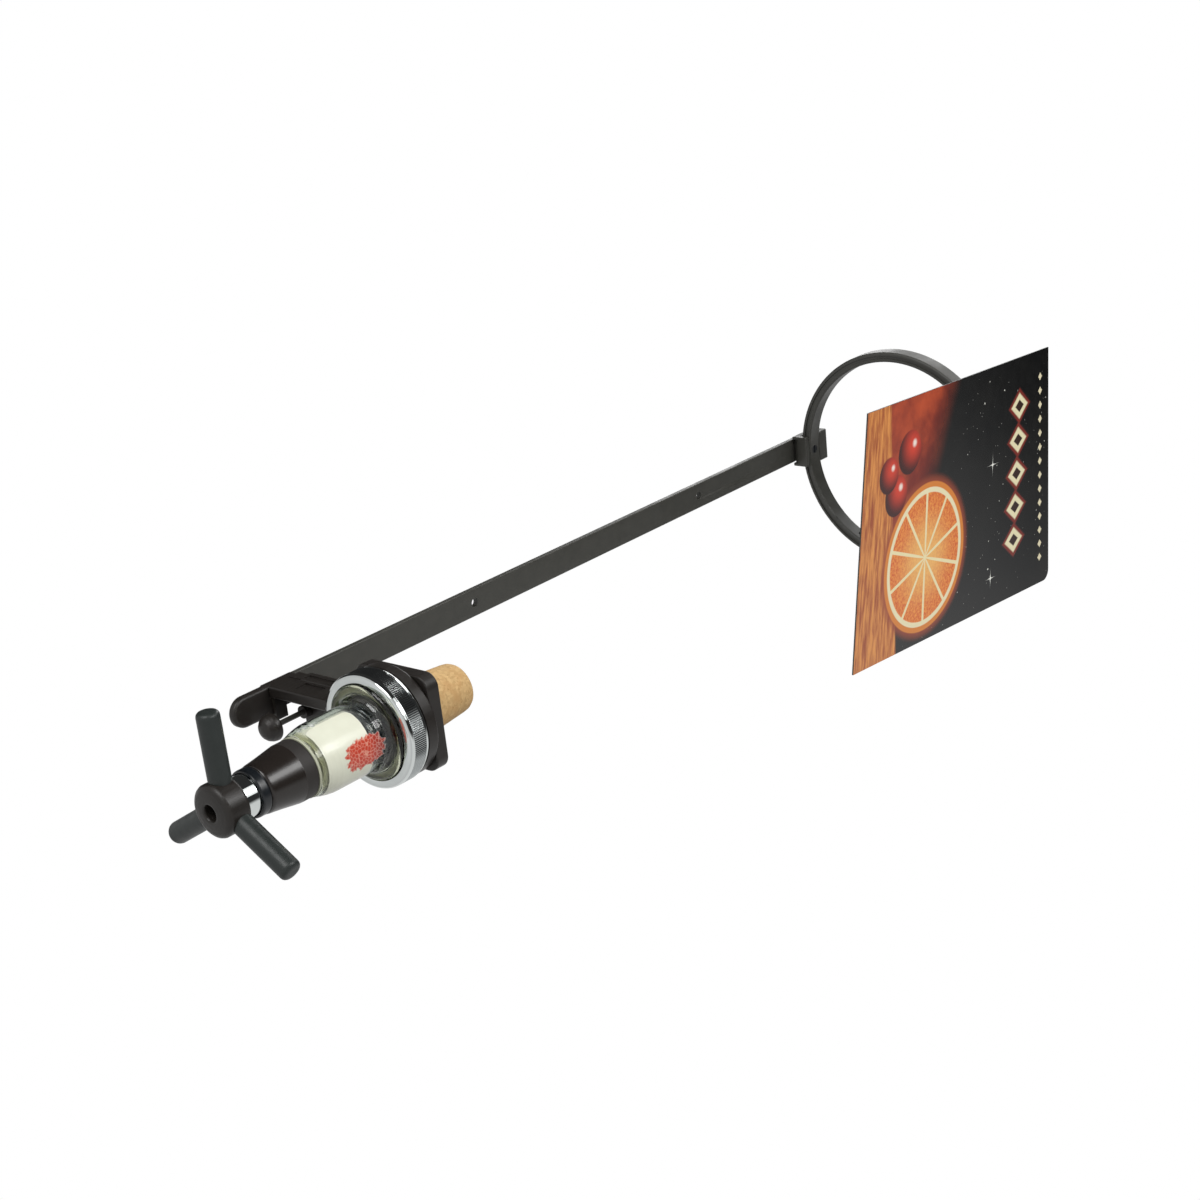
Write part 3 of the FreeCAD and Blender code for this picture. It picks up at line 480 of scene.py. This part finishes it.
def citrus_slice(art, picture, across, up, radius):
    """Round slice: glowing peel, cream pith and segments in amber and orange."""
    right, above = art.from_point(across, up)
    reach = art.reach(across, up)
    turn = art.calc("ARCTAN2", above, right)
    spokes = art.calc("ABSOLUTE", art.calc("SINE", art.calc("MULTIPLY", turn, 5.0)))
    pulp = art.noise(0.9, 4.0, 0.65, art.spot, 0.6)
    flesh = art.mix(art.remap(pulp, 0.3, 0.7), (206, 84, 40), (236, 152, 66))
    flesh = art.mix(art.remap(reach, 4.0, radius * 0.8, 0.6, 0.0), flesh, (246, 204, 120))
    membrane = art.calc("LESS_THAN", spokes, art.calc("DIVIDE", 4.0, art.calc("ADD", reach, 3.0)))
    inside = art.mix(membrane, flesh, (236, 222, 174))
    inside = art.mix(art.remap(reach, radius - 4.4, radius - 4.0), inside, (234, 224, 184))
    inside = art.mix(art.remap(reach, radius - 2.4, radius - 2.0), inside, (214, 128, 48))
    halo = art.remap(reach, radius, radius + 4.0, 0.8, 0.0)
    picture = art.mix(halo, picture, (150, 66, 40))
    return art.mix(art.disc(across, up, radius), picture, inside)


def berry(art, picture, across, up, radius):
    """Dark red berry with a soft light on its upper left."""
    depth = art.remap(art.reach(across - radius * 0.3, up + radius * 0.3), 0.0, radius * 1.3)
    skin = art.mix(depth, (214, 64, 42), (58, 18, 16))
    shine = art.disc(across - radius * 0.35, up + radius * 0.4, radius * 0.16, radius * 0.1)
    skin = art.mix(shine, skin, (240, 226, 214))
    return art.mix(art.disc(across, up, radius), picture, skin)


def garland(art, picture):
    """Chain of cream lozenges with red outlines, and a row of small ones above it."""
    for index in range(5):
        across = 20.0 + index * 14.0
        picture = art.mix(art.lozenge(across, 124.0 - index, 7.4, 9.6), picture, (122, 42, 34))
        picture = art.mix(art.lozenge(across, 124.0 - index, 5.4, 7.4), picture, (232, 224, 184))
        picture = art.mix(art.lozenge(across, 124.0 - index, 2.6, 3.8), picture, (52, 34, 28))
    steps = art.calc("PINGPONG", art.calc("ADD", art.across, 1.0), 3.0)
    off_row = art.calc("ABSOLUTE", art.calc("SUBTRACT", art.up, 143.0))
    beads = art.remap(art.calc("ADD", steps, off_row), 1.5, 1.9, 1.0, 0.0)
    inner = art.calc("MULTIPLY", art.remap(art.across, 9.0, 9.2),
                     art.remap(art.across, 91.0, 91.2, 1.0, 0.0))
    return art.mix(art.calc("MULTIPLY", beads, inner), picture, (226, 216, 182))


def floor_surface():
    """Pale matt floor, plain white to the camera."""
    surface = Finish("floor_surface", 0.9)
    surface.set(Base_Color=surface.mix(surface.noise(3.0), (232, 232, 232), (238, 238, 238)))
    surface.set(Emission_Color=colour((255, 255, 255)))
    path = surface.nodes.new("ShaderNodeLightPath").outputs
    seen = surface.calc("MAXIMUM", path["Is Camera Ray"], path["Is Transmission Ray"])
    mirrored = surface.calc("MULTIPLY", path["Is Glossy Ray"], 0.5)
    surface.set(Emission_Strength=surface.calc("MULTIPLY", surface.calc("MAXIMUM", seen, mirrored), 0.4))
    return surface.material


# ---------------------------------------------------------------- making pieces

def with_supports(profile, closed):
    """Adds a point close to both ends of every long stretch, so that its shading stays straight."""
    points = []
    for index, (start, end) in enumerate(zip(profile, profile[1:] + profile[:1])):
        points.append(start)
        length = math.hypot(end[0] - start[0], end[1] - start[1])
        last = index == len(profile) - 1
        if length > 1.2 and (closed or not last):
            for share in (0.12 / length, 1 - 0.12 / length):
                points.append((start[0] + (end[0] - start[0]) * share,
                               start[1] + (end[1] - start[1]) * share))
    return points


def turned(profile, steps=LATHE_STEPS, closed=True):
    """Spins (radius, height) points in millimetres round Z; an open profile ends on the axis."""
    bm = bmesh.new()
    profile = with_supports(profile, closed)
    points = [bm.verts.new((radius * MM, 0, height * MM)) for radius, height in profile]
    pairs = list(zip(points, points[1:] + points[:1])) if closed else list(zip(points, points[1:]))
    lines = [bm.edges.new(pair) for pair in pairs]
    bmesh.ops.spin(bm, geom=points + lines, cent=(0, 0, 0), axis=(0, 0, 1),
                   angle=FULL_TURN, steps=steps, use_merge=True)
    bmesh.ops.remove_doubles(bm, verts=bm.verts, dist=1e-7)
    bmesh.ops.recalc_face_normals(bm, faces=bm.faces)
    return bm


def make_piece(name, bm, body, material, slot, *replaced):
    """Finished mesh on its body, with its finish and the solids that it stands for."""
    mesh = bpy.data.meshes.new(name)
    bm.to_mesh(mesh)
    bm.free()
    mesh.polygons.foreach_set("use_smooth", [True] * len(mesh.polygons))
    mesh.set_sharp_from_angle(angle=SMOOTH_BELOW)
    mesh.materials.append(material)
    piece = bpy.data.objects.new(name, mesh)
    bpy.context.scene.collection.objects.link(piece)
    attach(piece, body)
    if replaced:
        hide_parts(*replaced)
    return piece


def merged_copy(node):
    """Copy of a solid's triangles, joined at their corners."""
    bm = bmesh.new()
    bm.from_mesh(frame["nodes"][node].data)
    bmesh.ops.remove_doubles(bm, verts=bm.verts, dist=1e-6)
    return bm


def chamfered_copy(node, width):
    """Copy of a solid with a narrow flat chamfer on its hard edges."""
    bm = merged_copy(node)
    bmesh.ops.dissolve_limit(bm, angle_limit=math.radians(0.5), verts=bm.verts, edges=bm.edges)
    sharp = [e for e in bm.edges if len(e.link_faces) == 2 and e.calc_face_angle() > math.radians(40)]
    bmesh.ops.bevel(bm, geom=sharp, offset=width * MM, offset_type="OFFSET", affect="EDGES",
                    segments=1, profile=0.5, material=-1, clamp_overlap=True)
    return bm


# ---------------------------------------------------------------- star handle

def build_star_hub():
    """Cup that the arms stand out from, with the outlet in its floor."""
    bm = turned([
        (2.5, -79.4), (2.8, -79.85), (3.4, -80.0), (5.0, -79.9), (6.6, -79.65), (7.5, -79.25),
        (8.1, -78.7), (8.4, -78.0), (8.4, -72.3), (8.2, -71.7), (7.6, -71.4), (6.65, -71.4),
        (6.65, -76.9), (2.5, -76.9)])
    make_piece("hub_moulding", bm, "star", FINISHES["black_plastic"], "black_plastic", "star_hub")


def build_star_arms():
    """Three round arms with eased tips."""
    for number, angle in enumerate(STAR_ANGLES, 1):
        bm = turned([
            (0.0, 5.0), (3.45, 5.0), (3.5, 9.0), (3.5, 28.1), (3.43, 28.6), (3.22, 29.05),
            (2.85, 29.4), (2.35, 29.6), (1.7, 29.69), (0.0, 29.7)], 48, closed=False)
        bmesh.ops.rotate(bm, verts=bm.verts, cent=(0, 0, 0), matrix=Matrix.Rotation(math.pi / 2, 3, "Y"))
        bmesh.ops.rotate(bm, verts=bm.verts, cent=(0, 0, 0),
                         matrix=Matrix.Rotation(math.radians(angle), 3, "Z"))
        bmesh.ops.translate(bm, verts=bm.verts, vec=(0, 0, ARM_HEIGHT * MM))
        make_piece(f"handle_arm_{number}", bm, "star", FINISHES["handle_plastic"], "handle_plastic",
                   f"star_arm_{number}")


# ---------------------------------------------------------------- measuring head

def build_nozzle():
    """Cone with a straight band at its top and a crease under it."""
    bm = turned([
        (6.45, -46.3), (9.15, -46.3), (9.4, -46.4), (9.5, -46.65), (9.5, -50.95), (9.46, -51.2),
        (9.2, -52.9), (8.95, -54.4), (8.55, -57.0), (8.22, -59.4), (7.92, -61.8), (7.75, -62.6),
        (7.5, -62.9), (7.15, -63.0), (6.7, -63.0), (6.7, -50.3), (3.2, -50.3), (3.2, -49.3),
        (6.45, -49.3)])
    make_piece("nozzle_moulding", bm, "rail", nozzle_plastic(), "black_plastic", "nozzle")


def build_wiper_ring():
    """Soft ring at the nozzle's tip."""
    bm = turned([
        (6.7, -66.0), (6.85, -66.25), (7.1, -66.3), (7.35, -66.2), (7.55, -65.9), (7.6, -65.5),
        (7.6, -63.5), (7.5, -63.15), (7.3, -63.0), (6.7, -63.0)])
    make_piece("wiper_lip", bm, "rail", FINISHES["rubber"], "rubber", "wiper_ring")


def build_measuring_glass():
    """Flanged chamber that narrows to a foot."""
    bm = turned([
        (9.6, -45.45), (9.85, -45.2), (10.2, -44.0), (10.7, -42.3), (11.1, -40.4), (11.35, -38.6),
        (11.4, -37.0), (11.4, -22.6), (11.5, -21.4), (11.9, -20.3), (12.6, -19.4), (13.6, -18.9),
        (14.8, -18.65), (15.4, -18.3), (15.7, -17.7), (15.75, -17.1), (16.0, -16.85), (16.95, -16.85),
        (16.95, -14.45), (12.65, -14.45), (12.6, -16.4), (12.3, -17.3), (11.5, -18.2), (10.7, -19.3),
        (10.15, -20.6), (10.0, -22.0), (10.0, -37.5), (9.95, -39.0), (9.7, -40.8), (9.3, -42.4),
        (8.7, -44.0), (8.4, -45.2), (8.6, -45.45)], 128)
    make_piece("glass_chamber", bm, "rail", FINISHES["glass"], "glass", "measuring_glass")


def build_label():
    """Thin sleeve just inside the glass."""
    bm = turned([
        (9.6, -25.4), (9.6, -39.4), (9.45, -40.6), (9.1, -41.9), (8.6, -43.4), (8.4, -44.0),
        (8.0, -44.0), (8.2, -43.4), (8.7, -41.9), (9.05, -40.6), (9.2, -39.4), (9.2, -25.4)])
    make_piece("label_wrap", bm, "rail", FINISHES["label_paper"], "label_paper", "label_sleeve")


def build_valve_cage():
    """Polished dome at the top of the chamber."""
    bm = turned([
        (6.45, -25.2), (6.9, -25.2), (7.6, -25.0), (8.25, -24.5), (8.7, -23.8), (8.93, -22.9),
        (9.0, -21.8), (9.0, -16.0), (8.95, -13.75), (7.5, -13.75), (7.5, -10.4), (3.2, -10.4),
        (3.2, -15.0), (6.45, -15.0)])
    make_piece("cage_dome", bm, "rail", FINISHES["cage"], "black_plastic", "valve_cage")


def build_union_nut():
    """Rounded front rim and an axial knurl whose every second line is pressed in."""
    bm = turned([
        (16.0, -17.0), (16.0, -17.35), (16.15, -17.65), (16.5, -17.8), (17.4, -17.8), (17.95, -17.74),
        (18.4, -17.56), (18.75, -17.22), (18.93, -16.8), (18.97, -16.35), (18.97, -16.1), (18.9, -16.0),
        (NUT_RADIUS, -15.85), (NUT_RADIUS, -10.9), (18.85, -10.7), (18.85, -10.35), (18.7, -9.85),
        (18.4, -9.6), (17.3, -9.6), (17.3, -17.0)], KNURL_LINES * 2)
    half_pitch = math.pi / KNURL_LINES
    for vert in bm.verts:
        on_band = (KNURL_BOTTOM * MM <= vert.co.z <= KNURL_TOP * MM
                   and vert.co.xy.length > (NUT_RADIUS - 0.05) * MM)
        line = round(math.atan2(vert.co.y, vert.co.x) / half_pitch)
        if on_band and line % 2:
            vert.co.xy *= 1 - KNURL_DEPTH / NUT_RADIUS
    make_piece("knurled_nut", bm, "nut", FINISHES["chrome"], "chrome", "union_nut")


def build_return_spring():
    """Return coil, copied from its solid; on the dispenser it gets shorter by the travel as the star is
    pushed up.
    """
    bm = merged_copy("return_spring")
    spring = make_piece("coil_spring", bm, "rail", FINISHES["spring_steel"], "spring_steel", "return_spring")
    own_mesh(spring)


def build_cork():
    """Tapered stopper with an eased tip."""
    bm = turned([
        (5.05, 0.0), (10.1, 0.0), (10.2, 0.25), (9.55, 7.0), (8.95, 14.0), (8.5, 19.6), (8.25, 21.2),
        (7.75, 22.2), (7.0, 22.8), (6.2, 23.0), (5.3, 23.0), (5.05, 22.75)])
    make_piece("cork_stopper", bm, "rail", FINISHES["cork"], "cork", "cork")


def build_clamp_knob():
    """Thumb piece: a drawn-in neck, a shoulder and a long dome."""
    bm = turned([
        (0.0, -24.45), (0.95, -24.45), (0.95, -19.6), (1.9, -19.6), (2.2, -19.75), (2.3, -20.2),
        (2.35, -21.0), (2.6, -21.3), (4.2, -21.4), (4.55, -21.5), (4.7, -21.8), (4.7, -22.2),
        (4.5, -23.3), (3.95, -24.5), (3.05, -25.5), (1.9, -26.15), (0.7, -26.4), (0.0, -26.4)],
        48, closed=False)
    bmesh.ops.translate(bm, verts=bm.verts, vec=(CLAMP_AXIS[0] * MM, CLAMP_AXIS[1] * MM, 0))
    make_piece("knob_moulding", bm, "clamp", FINISHES["black_plastic"], "black_plastic", "clamp_knob")


# ---------------------------------------------------------------- rail

def build_rail():
    """The flat bar and the hoop's block with their edges eased."""
    for name, node, width in (("flat_bar", "wall_bar", 0.35), ("eased_block", "hoop_block", 0.3)):
        make_piece(name, chamfered_copy(node, width), "rail", FINISHES["rail_paint"], "rail_paint", node)


# ---------------------------------------------------------------- sign

def sign_point(across, up):
    """Place of a point of the sheet's mid surface; across and up run from -0.5 to 0.5."""
    lean = math.radians(SIGN_LEAN)
    turn = math.radians(SIGN_TURN)
    right = Vector((math.cos(lean) * math.cos(turn), math.cos(lean) * math.sin(turn), -math.sin(lean)))
    upward = Vector((math.sin(lean), math.radians(SIGN_TILT), math.cos(lean)))
    bend = Vector((0, -SIGN_TWIST * 4 * across * up, 0))
    return (Vector(SIGN_CENTRE) + right * across * SIGN_WIDTH + upward * up * SIGN_HEIGHT + bend) * MM


def build_sign():
    """Flat sheet with one rounded corner, sliced, twisted and given its thickness.

    Only the front is printed: the back and the edges lie left of the print in the UV map.
    """
    bm = bmesh.new()
    bmesh.ops.create_grid(bm, x_segments=1, y_segments=1, size=0.5)
    bmesh.ops.scale(bm, verts=bm.verts, vec=(SIGN_WIDTH, SIGN_HEIGHT, 1))
    corner = [v for v in bm.verts if v.co.x > 0 and v.co.y > 0]
    bmesh.ops.bevel(bm, geom=corner, offset=SIGN_CORNER_RADIUS, offset_type="OFFSET", affect="VERTICES",
                    segments=8, profile=0.5, material=-1)
    for cut in range(1 - SIGN_SLICES // 2, SIGN_SLICES // 2):
        across = (cut * SIGN_WIDTH / SIGN_SLICES, 0, 0)
        upward = (0, cut * SIGN_HEIGHT / SIGN_SLICES, 0)
        for normal, place in (((1, 0, 0), across), ((0, 1, 0), upward)):
            bmesh.ops.bisect_plane(bm, geom=bm.verts[:] + bm.edges[:] + bm.faces[:],
                                   plane_co=place, plane_no=normal)
    uv = bm.loops.layers.uv.new("UVMap")
    front = bm.faces[:]
    for face in front:
        for loop in face.loops:
            loop[uv].uv = (loop.vert.co.x / SIGN_WIDTH + 0.5, loop.vert.co.y / SIGN_HEIGHT + 0.5)
    for vert in bm.verts:
        vert.co = sign_point(vert.co.x / SIGN_WIDTH, vert.co.y / SIGN_HEIGHT)
    half = SIGN_THICKNESS / 2 * MM
    bmesh.ops.translate(bm, verts=bm.verts, vec=(0, half, 0))
    made = bmesh.ops.extrude_face_region(bm, geom=front)["geom"]
    moved = [item for item in made if isinstance(item, bmesh.types.BMVert)]
    bmesh.ops.translate(bm, verts=moved, vec=(0, -2 * half, 0))
    printed = {face for face in made if isinstance(face, bmesh.types.BMFace)}
    for face in bm.faces:
        if face not in printed:
            for loop in face.loops:
                loop[uv].uv = BARE_BOARD_UV
    bmesh.ops.recalc_face_normals(bm, faces=bm.faces)
    make_piece("sign_sheet", bm, "sign", FINISHES["sign_board"], "sign_board", "sign_panel")


# ---------------------------------------------------------------- stage

def build_camera():
    """The one camera of the picture."""
    camera = bpy.data.objects.new("camera", bpy.data.cameras.new("camera"))
    bpy.context.scene.collection.objects.link(camera)
    up = CAMERA_RIGHT.cross(CAMERA_FORWARD)
    turn = Matrix((CAMERA_RIGHT, up, -CAMERA_FORWARD)).transposed()
    camera.matrix_world = Matrix.Translation(CAMERA_PLACE) @ turn.to_4x4()
    camera.data.lens = CAMERA_LENS
    camera.data.sensor_width = SENSOR_WIDTH
    camera.data.clip_start = 0.01
    camera.data.clip_end = 50.0
    bpy.context.scene.camera = camera


def build_world():
    """White room; reflections find it dimmer on the side away from the table."""
    world = bpy.data.worlds.new("studio")
    bpy.context.scene.world = world
    world.use_nodes = True
    room = Graph(world.node_tree)
    path = room.nodes.new("ShaderNodeLightPath").outputs
    facing = room.nodes.new("ShaderNodeVectorMath")
    facing.operation = "DOT_PRODUCT"
    room.put(facing.inputs[0], room.nodes.new("ShaderNodeTexCoord").outputs["Generated"])
    room.put(facing.inputs[1], BRIGHT_SIDE)
    shade = room.remap(facing.outputs["Value"], -0.12, 0.16, DIM_REFLECTION, BRIGHT_REFLECTION)
    seen = room.calc("MAXIMUM", path["Is Camera Ray"], path["Is Transmission Ray"])
    shown = room.calc("MAXIMUM", seen, room.calc("MULTIPLY", path["Is Glossy Ray"], shade))
    other = room.calc("MAXIMUM", seen, path["Is Glossy Ray"])
    ambient = room.calc("MULTIPLY", room.calc("SUBTRACT", 1.0, other), AMBIENT_LEVEL)
    background = room.nodes["Background"]
    room.put(background.inputs["Color"], (1, 1, 1, 1))
    room.put(background.inputs["Strength"], room.calc("ADD", shown, ambient))


def softbox(name, place, aim, size, watts):
    """Rectangular light that points at a spot."""
    lamp = bpy.data.lights.new(name, "AREA")
    lamp.shape = "RECTANGLE"
    lamp.size, lamp.size_y = size
    lamp.energy = watts
    holder = bpy.data.objects.new(name, lamp)
    bpy.context.scene.collection.objects.link(holder)
    holder.location = place
    holder.rotation_mode = "QUATERNION"
    holder.rotation_quaternion = (Vector(aim) - Vector(place)).to_track_quat("-Z", "Y")


def build_stage():
    """Camera, room, soft lights and floor."""
    build_camera()
    build_world()
    softbox("upper_light", (-0.56, -0.7, 0.25), (0.0, 0.0, -0.02), (0.36, 0.64), 4.2)
    softbox("upper_halo", (-0.6, -0.75, 0.27), (0.0, 0.0, -0.02), (0.75, 0.66), 1.8)
    softbox("side_light", (-0.82, -0.05, -0.52), (0.01, -0.02, -0.07), (0.5, 0.5), 4.2)
    softbox("back_light", (-0.3, 0.55, 1.1), (0.0, 0.05, 0.28), (0.5, 0.4), 2.0)
    softbox("top_light", (-0.55, 0.02, 1.05), (0.0, 0.0, 0.3), (0.5, 0.5), 2.2)
    bm = bmesh.new()
    bmesh.ops.create_grid(bm, x_segments=2, y_segments=2, size=FLOOR_SIZE / 2)
    bmesh.ops.translate(bm, verts=bm.verts, vec=(0, 0, FLOOR_HEIGHT))
    mesh = bpy.data.meshes.new("floor")
    bm.to_mesh(mesh)
    bm.free()
    mesh.materials.append(floor_surface())
    floor = bpy.data.objects.new("floor", mesh)
    bpy.context.scene.collection.objects.link(floor)


# ---------------------------------------------------------------- all together

def dress_solids():
    """Gives every solid that stays in view the finish of its slot, or its own."""
    slots = {entry["node"]: entry["material_slot"] for entry in frame["record"]["subparts"]}
    for name, solid in frame["nodes"].items():
        finish = LOOKS_BY_NODE.get(name) or FINISHES[slots[name]]
        if not solid.material_slots:
            solid.data.materials.append(finish)
        for slot in solid.material_slots:
            slot.material = finish


FINISHES = {
    "rail_paint": rail_paint(),
    "black_plastic": black_plastic(),
    "handle_plastic": handle_plastic(),
    "chrome": chrome(),
    "glass": clear_glass(),
    "label_paper": sleeve_paper(),
    "cork": cork_grain(),
    "rubber": rubber(),
    "spring_steel": spring_steel(),
    "sign_board": sign_print(),
    "seal": soft_seal(),
    "cage": cage_plastic(),
}

# The sunk screw is given dark rubber as painted shade of the hole it sits in; the seals are paler than their
# slot.
LOOKS_BY_NODE = {
    "hoop_screw": FINISHES["rubber"],
    "chamber_gasket": FINISHES["seal"],
    "glass_gasket": FINISHES["seal"],
}


bpy.context.scene.view_settings.view_transform = "Standard"
build_stage()
dress_solids()
build_star_hub()
build_star_arms()
build_nozzle()
build_wiper_ring()
build_measuring_glass()
build_label()
build_valve_cage()
build_return_spring()
build_union_nut()
build_cork()
build_clamp_knob()
build_sign()
build_rail()
